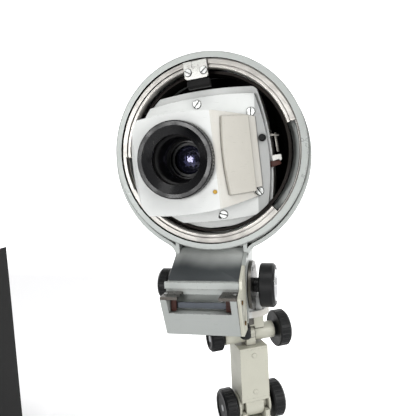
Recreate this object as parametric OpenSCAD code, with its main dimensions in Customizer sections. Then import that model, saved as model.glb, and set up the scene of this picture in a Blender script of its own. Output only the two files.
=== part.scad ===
// Ring-mounted camera head on an articulated arm with a folding table tripod.
// Millimetres. +Z is up. The origin is the mouth of the threaded hole under the tripod hub,
// the arm and the pan axis stand on the Z axis, and the camera looks along -Y.

/* [Tripod] */
// Length of a leg from its hinge to its foot
leg_length = 150; // [110:1:190]
// Angle of an open leg from the vertical
leg_spread = 60; // [50:1:66]
// Diameter of a leg rod
leg_d = 12; // [9:0.5:14]
// Diameter of the hub body
hub_d = 34; // [32:1:42]
// Height of the hub
hub_h = 26; // [24:1:34]
// Diameter of a rubber foot
foot_d = 20; // [17:1:26]
// Radius of the tapped hole under the hub (1/4 inch thread, tap size)
thread_r = 2.55; // [2.5:0.05:4]
// Depth of the tapped hole under the hub
thread_depth = 10; // [8:0.5:14]

/* [Arm] */
// Width of the square arm
arm_w = 28; // [24:0.5:34]
// Distance between the two hinge axes of the arm
arm_link = 70; // [62:1:120]
// Height of the lower hinge axis above the hub
base_axis_rise = 34; // [32:1:60]
// Turn of the arm about the vertical from the camera's direction
arm_yaw = 31; // [0:1:60]
// Width of the tongue that enters the yoke
tongue_w = 18; // [12:0.5:20]
// Width of the ear that enters the knuckle barrel
ear_w = 9; // [7:0.5:11]
// Radius of the knuckle barrel
barrel_r = 8; // [7.5:0.5:9]
// Length of the knuckle barrel
barrel_len = 50; // [46:1:60]
// Radius of the clamp bolts
bolt_r = 3; // [2.5:0.25:4]
// Radius of the arm clamp knobs
knob_r = 17.5; // [14:0.5:21]
// Thickness of the arm clamp knobs
knob_t = 12; // [9:0.5:16]

/* [Head base] */
// Height of the pan face above the elbow axis
pan_rise = 21; // [20:0.5:28]
// Radius of the pan disc
pan_disc_r = 21; // [18:0.5:24]
// Thickness of the pan disc
pan_disc_t = 6; // [5:0.5:8]
// Radius of the pan spindle
spindle_r = 6; // [5:0.25:7]
// Height of the tilt axis above the pan face
tilt_rise = 31; // [29:0.5:36]
// Radius of the large tilt knob
tilt_knob_r = 19.7; // [16:0.1:23]
// Thickness of the large tilt knob
tilt_knob_t = 13.5; // [11:0.5:18]

/* [Ring housing] */
// Outer diameter of the ring
ring_d = 172; // [168:1:200]
// Depth of the ring from front to back
ring_depth = 34; // [30:1:44]
// Wall of the ring
ring_wall = 5.5; // [4:0.25:6]
// Diameter of the opening inside the machined lip
opening_d = 144; // [143:1:150]
// Height of the ring centre above the tilt axis
ring_rise = 121; // [121:1:150]
// Ring centre to the left of the pan axis
ring_left = 23; // [20:0.5:26]
// Front of the ring ahead of the pan axis
ring_ahead = 32; // [30:0.5:36]
// Depth of the domed rear cover
dome_depth = 30; // [28:1:50]
// Width of the neck over its flanges
neck_w = 66; // [62:1:72]

/* [Shoe block] */
// Width of the shoe block
shoe_w = 65; // [62:1:68]
// Height of the shoe block
shoe_h = 46; // [44:1:50]
// Width of the slot in the shoe block
shoe_slot_w = 54; // [48:1:56]
// Height of the slot in the shoe block
shoe_slot_h = 13; // [10:0.5:14]
// Lean of the shoe block's front face
shoe_lean = 21; // [10:1:24]

/* [Camera] */
// Roll of the camera in its ring
camera_roll = 4; // [-10:1:10]
// Width of the nose housing's face
nose_w = 64; // [60:1:66]
// Height of the nose housing
nose_h = 80; // [76:1:82]
// Distance that the nose stands out of the ring
nose_out = 28; // [24:1:34]
// Outer radius of the focus ring
focus_r = 31.7; // [30:0.1:33]
// Radius of the lens barrel
barrel_tube_r = 23.7; // [22:0.1:24]
// Radius of the front glass
glass_r = 14; // [11:0.5:16]
// Radius of a plate screw's head
screw_head_r = 3.5; // [2.5:0.25:4]

/* [Hidden] */
$fn = 96;
gap = 0.3;          // between faces that move past each other
run = 0.05;         // radial clearance of a running shaft
eps = 0.01;         // overlap of a cutting tool past a face

// Heights of the axes
base_axis_z = hub_h + base_axis_rise;
elbow_axis_z = base_axis_z + arm_link;
pan_z = elbow_axis_z + pan_rise;
tilt_z = pan_z + tilt_rise;
ring_z = tilt_z + ring_rise;
tilt_y = 15 - ring_ahead;

// Colours
paint = [0.74, 0.76, 0.75];
machined = [0.72, 0.68, 0.6];
steel = [0.6, 0.61, 0.62];
black = [0.08, 0.08, 0.09];
cream = [0.76, 0.75, 0.67];
white = [0.85, 0.86, 0.86];
brass = [0.72, 0.56, 0.3];

// ---- helpers ----

// A cylinder along +Y, +X or a plate from an outline in the XZ or YZ plane
module y_cyl(r, h) { rotate([-90, 0, 0]) cylinder(r = r, h = h); }
module x_cyl(r, h) { rotate([0, 90, 0]) cylinder(r = r, h = h); }
module xz_plate(y0, t) { translate([0, y0 + t, 0]) rotate([90, 0, 0]) linear_extrude(t) children(); }
module yz_plate(x0, t) { translate([x0, 0, 0]) rotate([90, 0, 90]) linear_extrude(t) children(); }
// A body turned about the Y axis from an outline in radius and depth
module y_turn(points) { rotate([-90, 0, 0]) rotate_extrude() polygon(points); }
module x_turn(points) { rotate([0, 90, 0]) rotate_extrude() polygon(points); }
// A sector of a disc between two angles less than 180 degrees apart
module wedge(r, a, b) {
    polygon([[0, 0], [r * cos(a), r * sin(a)], [r * cos((a + b) / 2), r * sin((a + b) / 2)] * 1.6,
        [r * cos(b), r * sin(b)]]);
}
// A slotted cheese-head screw along +Z with its head's top at z = head_t
module slot_screw(head_r, head_t, shank_r, shank_len, turn) {
    difference() {
        union() {
            cylinder(r = head_r, h = head_t);
            translate([0, 0, -shank_len]) cylinder(r = shank_r, h = shank_len);
        }
        rotate([0, 0, turn]) translate([-2 * head_r, -head_r * 0.12, head_t * 0.45])
            cube([4 * head_r, head_r * 0.24, head_t]);
    }
}
// Places children facing the viewer (-Y) at a point of the XZ plane
module facing(p) { translate(p) rotate([90, 0, 0]) children(); }
// Frames of the arm, the ring and the camera
module in_arm(z) { translate([0, 0, z]) rotate([0, 0, arm_yaw]) children(); }
module in_head() { translate([-ring_left, -ring_ahead, ring_z]) children(); }
module in_camera() { in_head() rotate([0, -camera_roll, 0]) children(); }
// The tilt axis in the head frame
axis_y = tilt_y + ring_ahead;
axis_z = tilt_z - ring_z;

// ---- tripod ----

leg_start = 234;
hinge_r = hub_d / 2 + 8;
hinge_z = 12;
lug_gap = 7;
lug_t = 4;
eye_r = 6;
pin_r = 2;
module at_leg(i) { rotate([0, 0, leg_start + 120 * i]) translate([hinge_r, 0, hinge_z]) children(); }

module tripod_hub() {
    color(cream) difference() {
        union() {
            cylinder(r = hub_d / 2, h = hub_h);
            for (i = [0:2]) at_leg(i) for (s = [-1, 1]) hub_lug(s);
        }
        translate([0, 0, -eps]) cylinder(r = thread_r + insert_wall, h = thread_depth + eps);
        for (i = [0:2]) at_leg(i) rotate([90, 0, 0])
            cylinder(r = pin_r, h = lug_gap + 2 * lug_t + 2, center = true);
    }
}
module hub_lug(s) {
    y0 = s > 0 ? lug_gap / 2 : -lug_gap / 2 - lug_t;
    translate([0, y0, 0]) {
        y_cyl(eye_r, lug_t);
        translate([-12, 0, -eye_r]) cube([12, lug_t, 2 * eye_r]);
    }
}
insert_wall = 1.6;
module thread_insert() {
    color(brass) difference() {
        cylinder(r = thread_r + insert_wall, h = thread_depth);
        translate([0, 0, -eps]) cylinder(r = thread_r, h = thread_depth + 2 * eps);
    }
}
module leg_pins() {
    color(steel) for (i = [0:2]) at_leg(i) rotate([90, 0, 0])
        cylinder(r = pin_r, h = lug_gap + 2 * lug_t, center = true);
}
// One leg: an eye on the hinge pin and a rod that runs out and down to the foot
module leg(i) {
    at_leg(i) color(steel) rotate([0, 180 - leg_spread, 0]) {
        difference() {
            union() {
                translate([0, -lug_gap / 2 + gap, 0]) y_cyl(eye_r - 0.5, lug_gap - 2 * gap);
                translate([-4, -lug_gap / 2 + gap, 0]) cube([8, lug_gap - 2 * gap, 12]);
            }
            rotate([90, 0, 0]) cylinder(r = pin_r + run, h = lug_gap + 2, center = true);
        }
        translate([0, 0, 11]) cylinder(r = leg_d / 2, h = leg_length - 11);
    }
}
module foot(i) {
    at_leg(i) color(black) rotate([0, 180 - leg_spread, 0]) translate([0, 0, leg_length]) difference() {
        union() {
            sphere(r = foot_d / 2);
            translate([0, 0, -14]) cylinder(r = leg_d / 2 + 2, h = 14);
        }
        translate([0, 0, -20]) cylinder(r = leg_d / 2, h = 20);
    }
}

// ---- yoke and arm ----

washer_t = 2;
arm_end_gap = 8.2;
cheek_r = arm_end_gap - 0.6;
washer_r = arm_w / 2 - 1.5;
yoke_drop = 3.5;
module yoke() {
    color(cream) in_arm(hub_h) difference() {
        union() {
            translate([-arm_w / 2, -arm_w / 2, 0]) cube([arm_w, arm_w, base_axis_rise - yoke_drop]);
            translate([-arm_w / 2, 0, base_axis_rise]) x_cyl(cheek_r, arm_w);
        }
        translate([-tongue_w / 2 - gap, -arm_w, base_axis_rise - tongue_r - 1])
            cube([tongue_w + 2 * gap, 2 * arm_w, 3 * tongue_r]);
        translate([-arm_w, 0, base_axis_rise]) x_cyl(bolt_r + run, 2 * arm_w);
    }
}
module yoke_washers() {
    color(cream) in_arm(base_axis_z) for (s = [-1, 1]) difference() {
        translate([s > 0 ? arm_w / 2 : -arm_w / 2 - washer_t, 0, 0]) x_cyl(washer_r, washer_t);
        translate([-arm_w, 0, 0]) x_cyl(bolt_r + run, 2 * arm_w);
    }
}
arm_wall = 2.5;
arm_low = arm_end_gap;
tongue_r = arm_end_gap + 3.3;
arm_top = arm_link - barrel_r - 1.5;
plug_in = 12;
module arm_tube() {
    color(cream) in_arm(base_axis_z) difference() {
        translate([-arm_w / 2, -arm_w / 2, arm_low + 3]) cube([arm_w, arm_w, arm_top - arm_low - 5]);
        translate([-arm_w / 2 + arm_wall, -arm_w / 2 + arm_wall, 0])
            cube([arm_w - 2 * arm_wall, arm_w - 2 * arm_wall, arm_link]);
        for (z = rivet_heights()) translate([0, arm_w, z]) rotate([90, 0, 0])
            cylinder(r = rivet_r, h = 2 * arm_w);
    }
}
rivet_r = 1.5;
function rivet_heights() = [arm_low + 3 + plug_in / 2, arm_top - 2 - plug_in / 2];
// Lower end of the arm: a plug in the tube and a round tongue on the base bolt
module arm_tongue() {
    inner = arm_w - 2 * arm_wall;
    color(cream) in_arm(base_axis_z) difference() {
        union() {
            translate([-arm_w / 2, -arm_w / 2, arm_low]) cube([arm_w, arm_w, 3]);
            translate([-inner / 2, -inner / 2, arm_low]) cube([inner, inner, 3 + plug_in]);
            translate([-tongue_w / 2, 0, 0]) x_cyl(tongue_r, tongue_w);
        }
        translate([-arm_w, 0, 0]) x_cyl(bolt_r + run, 2 * arm_w);
        rivet_bore(rivet_heights()[0]);
        for (s = [-1, 1]) translate([s > 0 ? tongue_w / 2 : -tongue_w / 2 - arm_w, -arm_w, -arm_w])
            cube([arm_w, 2 * arm_w, arm_w + arm_low]);
    }
}
module rivet_bore(z) { translate([0, arm_w, z]) rotate([90, 0, 0]) cylinder(r = rivet_r, h = 2 * arm_w); }
// Upper end of the arm: a plug in the tube and an ear on the elbow bolt
module arm_ear() {
    inner = arm_w - 2 * arm_wall;
    color(cream) in_arm(base_axis_z) difference() {
        union() {
            translate([-arm_w / 2, -arm_w / 2, arm_top - 2]) cube([arm_w, arm_w, 2]);
            translate([-inner / 2, -inner / 2, arm_top - 2 - plug_in]) cube([inner, inner, plug_in]);
            translate([-ear_w / 2, 0, arm_link]) x_cyl(barrel_r, ear_w);
            translate([-ear_w / 2, -barrel_r, arm_top - 1]) cube([ear_w, 2 * barrel_r, barrel_r]);
        }
        translate([-arm_w, 0, arm_link]) x_cyl(bolt_r + run, 2 * arm_w);
        rivet_bore(rivet_heights()[1]);
    }
}
module arm_rivets() {
    color(steel) in_arm(base_axis_z) for (z = rivet_heights()) translate([0, arm_w / 2, z])
        rotate([90, 0, 0]) cylinder(r = rivet_r, h = arm_w);
}

// A round knob on +X with a ribbed rim, a hub at its inner side and a dished face
module knob(r, t, hub_len, ribs) {
    difference() {
        x_turn([[bolt_r, 0], [6.5, 0], [6.5, hub_len], [r - 1, hub_len], [r, hub_len + 1],
            [r, hub_len + t - 2], [r - 2, hub_len + t], [r - 4, hub_len + t], [r - 5.5, hub_len + t - 1],
            [bolt_r, hub_len + t - 1]]);
        for (k = [0:1:ribs - 1]) rotate([360 / ribs * k, 0, 0]) translate([hub_len + 1.5, 0, r + 0.75])
            x_cyl(1.1, t + 2);
    }
}
base_knob_at = arm_w / 2 + washer_t + gap;
elbow_knob_at = barrel_len / 2 + gap;
base_hub_len = 2;
elbow_hub_len = 2;
knob_ribs = 24;
small_knob_r = 14.5;
small_knob_t = 10;
elbow_small_r = 12;
module clamp_knob(z, r, at, hub_len, side) {
    color(black) in_arm(z) rotate([0, 0, side < 0 ? 180 : 0]) translate([at, 0, 0])
        knob(r, knob_t, hub_len, knob_ribs);
}
module clamp_bolt(z, reach) { color(steel) in_arm(z) translate([-reach, 0, 0]) x_cyl(bolt_r, 2 * reach); }
module base_bolt() { clamp_bolt(base_axis_z, base_knob_at + base_hub_len + knob_t - 1); }
module base_knob_right() { clamp_knob(base_axis_z, knob_r, base_knob_at, base_hub_len, 1); }
module base_knob_left() { clamp_knob(base_axis_z, knob_r, base_knob_at, base_hub_len, -1); }
module elbow_bolt() { clamp_bolt(elbow_axis_z, elbow_knob_at + elbow_hub_len + knob_t - 1); }
module elbow_knob_right() { clamp_knob(elbow_axis_z, knob_r, elbow_knob_at, elbow_hub_len, 1); }
module elbow_knob_left() { clamp_knob(elbow_axis_z, elbow_small_r, elbow_knob_at, elbow_hub_len, -1); }

// ---- knuckle ----

knuckle_front = 7;
knuckle_back = 13;
knuckle_low = 6;
bush_wall = 2;
bush_depth = 11;
lock_at = [-8, -(barrel_r + 7), 1];
lock_r = 5;
lock_h = 12;
module knuckle() {
    color(cream) in_arm(elbow_axis_z) difference() {
        union() {
            translate([-barrel_len / 2, 0, 0]) x_cyl(barrel_r, barrel_len);
            translate([-arm_w / 2, -knuckle_front, knuckle_low])
                cube([arm_w, knuckle_front + knuckle_back, pan_rise - knuckle_low]);
            translate([lock_at[0] - 4, -barrel_r - 4, 2]) cube([8, 9, 8]);
        }
        translate(lock_at) cylinder(r = lock_r + run, h = lock_h);
        translate([-ear_w / 2 - gap, -2 * arm_w, -2 * barrel_r])
            cube([ear_w + 2 * gap, 4 * arm_w, 3 * barrel_r + gap]);
        translate([-barrel_len, 0, 0]) x_cyl(bolt_r + run, 2 * barrel_len);
        translate([0, 0, pan_rise - bush_depth]) cylinder(r = spindle_r + bush_wall, h = bush_depth + 1);
    }
}
module pan_bush() {
    color(brass) translate([0, 0, pan_z - bush_depth]) difference() {
        cylinder(r = spindle_r + bush_wall, h = bush_depth);
        translate([0, 0, -eps]) cylinder(r = spindle_r + run, h = bush_depth + 1);
    }
}
// Hollow black socket screw that clamps the pan bush
module pan_lock() {
    color(black) in_arm(elbow_axis_z) translate(lock_at) difference() {
        rotate_extrude() polygon([[0, 0], [lock_r - 1.2, 0], [lock_r, 1.2], [lock_r, lock_h - 1],
            [lock_r - 1, lock_h], [0, lock_h]]);
        translate([0, 0, lock_h - 6]) cylinder(r = lock_r - 2, h = 7, $fn = 6);
    }
}

// ---- head base ----

neck_mid = -2.5;
flange_t = 3.5;
neck_left = neck_mid - neck_w / 2;
neck_right = neck_mid + neck_w / 2;
post_w = neck_w - 2 * flange_t - 26;
post_r = 12;
plate_t = 2.5;
plate_x = neck_right + 0.7;
base_lug_w = 5.5;
// Pan disc, post between the bracket's flanges and a lug that carries the sector plate
module head_base() {
    disc_low = pan_z + gap;
    post_x = -ring_left + neck_mid - post_w / 2;
    color(white) difference() {
        union() {
            translate([0, 0, disc_low]) cylinder(r = pan_disc_r, h = pan_disc_t);
            translate([post_x, tilt_y - 8, disc_low]) cube([post_w + 14, 20, pan_disc_t]);
            translate([post_x, tilt_y - post_r + 2, disc_low])
                cube([post_w, 2 * post_r - 4, tilt_rise - gap]);
            translate([post_x, tilt_y, tilt_z]) x_cyl(post_r, post_w);
            translate([plate_x + plate_t - ring_left, tilt_y + 4, disc_low])
                cube([base_lug_w, 20, 19]);
        }
        translate([post_x - 1, tilt_y, tilt_z]) x_cyl(bolt_r + run, post_w + 2);
        translate([0, 0, disc_low - 1]) cylinder(r = spindle_r, h = pan_disc_t + 2);
        for (p = sector_screw_places()) translate([plate_x - ring_left, p[0] - ring_ahead, p[1] + ring_z])
            x_cyl(sector_shank_r, plate_t + base_lug_w);
    }
}
sector_shank_r = 1.25;
function sector_screw_places() = [[axis_y + 9, axis_z - 17], [axis_y + 19, axis_z - 17]];
module pan_spindle() {
    color(steel) translate([0, 0, pan_z - bush_depth + 1])
        cylinder(r = spindle_r, h = bush_depth - 1 + gap + pan_disc_t);
}
sector_r = 22;
module sector_plate() {
    color(steel) in_head() difference() {
        yz_plate(plate_x, plate_t) difference() {
            union() {
                translate([axis_y, axis_z]) circle(r = sector_r);
                translate([axis_y + 4, axis_z - tilt_rise + gap + pan_disc_t]) square([20, 16]);
            }
            for (a = [75, 105, 225]) translate([axis_y + 16 * cos(a), axis_z + 16 * sin(a)]) circle(r = 2);
        }
        translate([0, axis_y, axis_z]) x_cyl(bolt_r + run, 60);
        for (p = sector_screw_places()) translate([0, p[0], p[1]]) x_cyl(sector_shank_r, 60);
    }
}
module sector_screws() {
    color(steel) in_head() for (p = sector_screw_places())
        translate([plate_x, p[0], p[1]]) rotate([0, -90, 0]) translate([0, 0, -plate_t - 5])
        cylinder(r = sector_shank_r, h = plate_t + 5);
}

// ---- tilt clamp ----

tilt_hub_len = 6;
tilt_knob_x = plate_x + plate_t + gap;
tilt_left_x = neck_left - gap;
cap_t = 3;
tilt_end = tilt_knob_x + tilt_hub_len + tilt_knob_t;
module tilt_bolt() {
    color(steel) in_head() translate([tilt_left_x - 9 - small_knob_t, axis_y, axis_z])
        x_cyl(bolt_r, tilt_end - 1 - tilt_left_x + 9 + small_knob_t);
}
module tilt_knob_right() {
    color(black) in_head() translate([tilt_knob_x, axis_y, axis_z])
        knob(tilt_knob_r, tilt_knob_t, tilt_hub_len, 0);
}
module tilt_cap() {
    color(steel) in_head() translate([tilt_end - 1, axis_y, axis_z])
        x_turn([[0, 0], [tilt_knob_r - 5.5, 0], [tilt_knob_r - 5.5, 1], [tilt_knob_r - 8, cap_t],
            [0, cap_t]]);
}
module tilt_knob_left() {
    color(black) in_head() translate([tilt_left_x, axis_y, axis_z]) mirror([1, 0, 0])
        knob(small_knob_r, small_knob_t, 9, 24);
}

// ---- ring bracket ----

ring_r = ring_d / 2;
cavity_r = ring_r - ring_wall;
opening_r = opening_d / 2;
hoop_r = opening_r - 0.5;
rear_web = 4;
flare_r = 14;
flare_bite = 0.1;
back_drop = 4.4;
back_r = ring_r + 2;
rim_t = 5;
ramp_t = 4;
// Outline of the casting behind its front rim: a disc set a little low, run into the neck
// with a concave flare on each side; inset moves it in by a wall
module casting_outline(low, inset) {
    r = back_r - inset;
    f = flare_r + inset;
    translate([0, -back_drop]) circle(r = r);
    translate([neck_left + inset, low]) square([neck_w - 2 * inset, -60 - low]);
    for (s = [-1, 1]) {
        x0 = (s < 0 ? neck_left + inset : neck_right - inset);
        xc = x0 + s * f;
        reach = r + f - flare_bite;
        zc = -back_drop - sqrt(reach * reach - xc * xc);
        k = r / (r + f);
        difference() {
            polygon([[x0 - s, zc], [xc, zc], [xc * k, (zc + back_drop) * k - back_drop], [x0 - s, -60]]);
            translate([xc, zc]) circle(r = f);
        }
    }
}
shoe_right = neck_right - flange_t;
shoe_left = shoe_right - shoe_w;
shoe_top = -108.5;
shoe_low = shoe_top - shoe_h;
shoe_front = -38;
shoe_back = -8;
// Side wall of the neck, seen from the side
ramp_top = [ring_depth / 2 - 5, -86];
ramp_end = [-23, shoe_top];
cover_lip = 1.5;
neck_end = -100;
jaw_top = shoe_top - 9.5;
band_y = ramp_end[0] - 2;
band_h = 6;
recess_y = band_y + 4;
pocket_y = -12;
jaw_t = 2.4;
slot_top = jaw_top - jaw_t;
slot_low = slot_top - shoe_slot_h;
slot_mid = shoe_left + 5.5 + shoe_slot_w / 2;
jaw_w = 15;
lean_run = (slot_top - shoe_low) * tan(shoe_lean);
ramp_slope = (ramp_end[1] - ramp_top[1]) / (ramp_end[0] - ramp_top[0]);
function ramp_z(y) = ramp_top[1] + (y - ramp_top[0]) * ramp_slope;
module flange_outline(lip) {
    difference() {
        union() {
            translate([rim_t, axis_z - 6]) square([ring_depth - rim_t, ring_rise - 60]);
            translate([axis_y, axis_z]) circle(r = 21.5);
            polygon([[ramp_top[0], ramp_top[1] + lip], [shoe_back, ramp_z(shoe_back) + lip],
                [shoe_back, shoe_low + 8], [shoe_back + 4, shoe_low + 4], [axis_y - 12, axis_z - 17],
                [axis_y, ramp_top[1]]]);
        }
        translate([ring_depth, axis_z - 2]) square([40, 60]);
    }
}
module ring_bracket() {
    color(paint) in_head() difference() {
        union() {
            y_turn([[cavity_r, 0], [ring_r - 0.8, 0], [ring_r, 0.8], [ring_r, ring_depth - 2],
                [ring_r - 2, ring_depth], [opening_r, ring_depth], [opening_r, ring_depth - rear_web],
                [cavity_r, ring_depth - rear_web]]);
            xz_plate(rim_t, ring_depth - rim_t) difference() {
                casting_outline(neck_end, 0);
                casting_outline(neck_end - 1, flange_t);
            }
            xz_plate(ring_depth / 2, ramp_t) casting_outline(neck_end, 1);
            yz_plate(neck_left, flange_t) flange_outline(0);
            yz_plate(neck_right - flange_t, flange_t) flange_outline(cover_lip);
            yz_plate(neck_left + 1, shoe_right - neck_left - 1) polygon([ramp_top,
                [ring_depth / 2 + ramp_t, ramp_top[1]], [ring_depth / 2 + ramp_t, ramp_top[1] - 6],
                [ramp_end[0] + 2, ramp_end[1] - ramp_t], ramp_end]);
        }
        translate([0, -1, 0]) y_cyl(cavity_r, ring_depth - rear_web + 1);
        translate([0, -1, 0]) y_cyl(opening_r, ring_depth + 2);
        translate([neck_left - 1, axis_y, axis_z]) x_cyl(bolt_r + run, neck_w + 2);
        for (a = dome_screw_angles()) translate([dome_seat_r * cos(a), ring_depth - 5, dome_seat_r * sin(a)])
            y_cyl(dome_shank_r, 6);
    }
}

// Machined ring with a bright inner lip, cut away where the camera is put in
band_r = opening_r + 3.6;
module inner_ring() {
    color(machined) in_head() difference() {
        y_turn([[opening_r, 3.2], [opening_r + 0.8, 2.4], [band_r - 0.7, 2.4], [band_r - 0.7, 4],
            [band_r, 4], [band_r, 1.4], [cavity_r - 1.1, 1.4], [cavity_r - 1.1, 3.5], [cavity_r, 3.5],
            [cavity_r, 10], [opening_r, 10]]);
        xz_plate(0, 11) intersection() {
            difference() { circle(r = ring_r); circle(r = opening_r - 5); }
            union() { wedge(ring_r, -42, 17); }
            circle(r = cavity_r - 1.6);
        }
        xz_plate(0, 6) intersection() {
            difference() { circle(r = band_r + 1); circle(r = opening_r - 5); }
            wedge(ring_r, 180, 203);
        }
    }
}

dome_t = 2;
dome_seat_r = cavity_r - 2.2;
dome_shank_r = 1.25;
function dome_screw_angles() = [for (k = [0:5]) 30 + 60 * k];
// Cup behind the ring: a flange, a short wall and a shallow spherical end
dome_wall = 15;
dome_r = cavity_r - 5;
dome_rise = dome_depth - dome_wall + 8;
dome_ball = (dome_r * dome_r + dome_rise * dome_rise) / (2 * dome_rise);
apex_y = ring_depth + dome_wall + dome_rise;
module dome_solid(inset) {
    intersection() {
        translate([0, apex_y - dome_ball, 0]) sphere(r = dome_ball - inset, $fn = 128);
        translate([0, ring_depth - inset, 0]) y_cyl(dome_r - inset, 2 * dome_depth);
    }
}
module rear_dome() {
    color(paint) in_head() difference() {
        union() {
            dome_solid(0);
            translate([0, ring_depth, 0]) y_cyl(cavity_r, dome_t);
            translate(socket_at) y_cyl(socket_r + 3, socket_len);
        }
        dome_solid(dome_t);
        for (a = dome_screw_angles()) translate([dome_seat_r * cos(a), ring_depth - 1, dome_seat_r * sin(a)])
            y_cyl(dome_shank_r, dome_t + 2);
        translate([socket_at[0], 0, socket_at[2]]) y_cyl(socket_r, 2 * apex_y);
        for (k = [-3:3]) translate([-22, ring_depth + 8, 22 + 5 * k - 1]) cube([44, dome_depth + 20, 2]);
    }
}
module dome_screws() {
    color(steel) in_head() for (a = dome_screw_angles())
        translate([dome_seat_r * cos(a), ring_depth + dome_t, dome_seat_r * sin(a)]) rotate([-90, 0, 0])
        slot_screw(2, 1.2, dome_shank_r, dome_t + 2.8, a);
}
socket_r = 6;
socket_len = 18;
socket_at = [0, apex_y - dome_ball + sqrt(dome_ball * dome_ball - 34 * 34) - 12, -34];
// Round inlet for a lead, with five contacts
module rear_socket() {
    color(steel) in_head() translate([socket_at[0], socket_at[1] + socket_len, socket_at[2]]) difference() {
        translate([0, -8, 0]) y_cyl(socket_r, 9);
        translate([0, -4, 0]) y_cyl(socket_r - 1.2, 9);
    }
}

// ---- latch at the top of the ring ----

latch_turn = 5;
latch_w = 21;
latch_h = 15;
latch_low = 63.5;
module in_latch() { in_head() rotate([0, -latch_turn, 0]) translate([0, 0, latch_low]) children(); }
module latch_plate() {
    color(steel) in_latch() difference() {
        translate([-latch_w / 2, -1.5, 0]) cube([latch_w, 2.9, latch_h]);
        for (s = [-1, 1]) translate([s * 7, -2, 6]) y_cyl(latch_shank_r, 5);
        translate([-3, -2, latch_h - 5]) cube([6, 1.2, 6]);
        for (s = [-1, 1]) translate([s * latch_w / 2, -2, 0]) rotate([0, 45, 0]) translate([-1.2, 0, -1.2])
            cube([2.4, 5, 2.4]);
    }
}
latch_shank_r = 1.25;
module latch_screws() {
    color(steel) in_latch() for (s = [-1, 1]) facing([s * 7, -1.5, 6])
        slot_screw(3, 1.3, latch_shank_r, 4, 35 * s);
}
catch_w = 20;
// Sprung black catch that holds the camera's hoop
module latch_catch() {
    color(black) in_latch() difference() {
        union() {
            translate([-catch_w / 2, 1.7, -7]) cube([catch_w, 7, 6.6]);
            translate([-catch_w / 2 + 5, 1.8, -2]) cube([catch_w - 10, 4, 6]);
        }
        translate([-catch_w / 2 - 1, 1.2, -9]) rotate([35, 0, 0]) cube([catch_w + 2, 3, 3]);
    }
}

// ---- side cover and shoe block ----

cover_t = 3;
// Light cover on the right side of the block, wide at its middle and pointed at its top
module side_cover() {
    color(white) in_head() difference() {
        yz_plate(shoe_right, cover_t) polygon([[shoe_back - gap, ramp_z(shoe_back) + cover_lip],
            [ramp_end[0] - 1.5, shoe_top + cover_lip], [band_y - 1, shoe_top - band_h],
            [shoe_front + 0.5, jaw_top - 1], [shoe_front + 0.5, slot_top],
            [shoe_front + lean_run - 0.5, shoe_low], [shoe_back - gap, shoe_low]]);
        for (p = cover_screw_places()) translate([0, p[0], p[1]]) x_cyl(cover_shank_r, 60);
    }
}
cover_shank_r = 1.1;
function cover_screw_places() = [[-31, shoe_top - 15], [-20, shoe_top - 36]];
module cover_screws() {
    color(brass) in_head() for (p = cover_screw_places()) translate([shoe_right + cover_t, p[0], p[1]])
        rotate([0, 90, 0]) slot_screw(1.9, 1, cover_shank_r, cover_t + 4, 40);
}
module shoe_block() {
    color(paint) in_head() difference() {
        yz_plate(shoe_left, shoe_w) polygon([[shoe_back, ramp_z(shoe_back) - 8],
            [ramp_end[0] + 2, shoe_top - ramp_t], [ramp_end[0], shoe_top], [band_y, shoe_top - 0.6], [band_y, shoe_top - band_h],
            [recess_y, shoe_top - band_h - 1], [recess_y, slot_top], [shoe_front, slot_top],
            [shoe_front + lean_run, shoe_low], [shoe_back, shoe_low]]);
        // pocket behind the front plate, open at the top between the jaws
        translate([slot_mid - shoe_slot_w / 2, shoe_front - 1, slot_low])
            cube([shoe_slot_w, pocket_y - shoe_front + 1, shoe_slot_h]);
        translate([slot_mid - shoe_slot_w / 2, shoe_front - 1, slot_top - eps])
            cube([shoe_slot_w, recess_y - shoe_front + 1, 1]);
        for (p = cover_screw_places()) translate([shoe_right - 5, p[0], p[1]]) x_cyl(cover_shank_r, 6);
        for (x = jaw_screw_places()) translate([x, jaw_screw_y, slot_top - 4]) cylinder(r = 0.9, h = 5);
    }
}
function jaw_screw_places() = [shoe_left + 2.6, shoe_right - 2.6];
jaw_screw_y = -29;
module jaw_plates() {
    color(steel) in_head() difference() {
        for (x = [shoe_left, shoe_right - jaw_w]) translate([x, shoe_front, slot_top])
            cube([jaw_w, recess_y - shoe_front, jaw_t]);
        for (x = jaw_screw_places()) translate([x, jaw_screw_y, slot_top - 1]) cylinder(r = 0.9, h = 5);
    }
}
module jaw_screws() {
    color(steel) in_head() for (x = jaw_screw_places()) translate([x, jaw_screw_y, slot_top + jaw_t])
        slot_screw(1.6, 0.8, 0.9, jaw_t + 3, 20);
}
bar_t = 2.2;
bar_h = 5;
bar_y = -26;
// Sprung bar inside the slot that grips an accessory foot
module clamp_bar() {
    color(steel) in_head() translate([slot_mid - shoe_slot_w / 2 + 1, bar_y, slot_low + 2.5])
        cube([shoe_slot_w - 2, bar_t, bar_h]);
}

// ---- camera ----

body_mid = [-5, -6];
plate_y = 10;
plate_depth = 6;
shell_y = plate_y + plate_depth;
shell_depth = 30;
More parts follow.
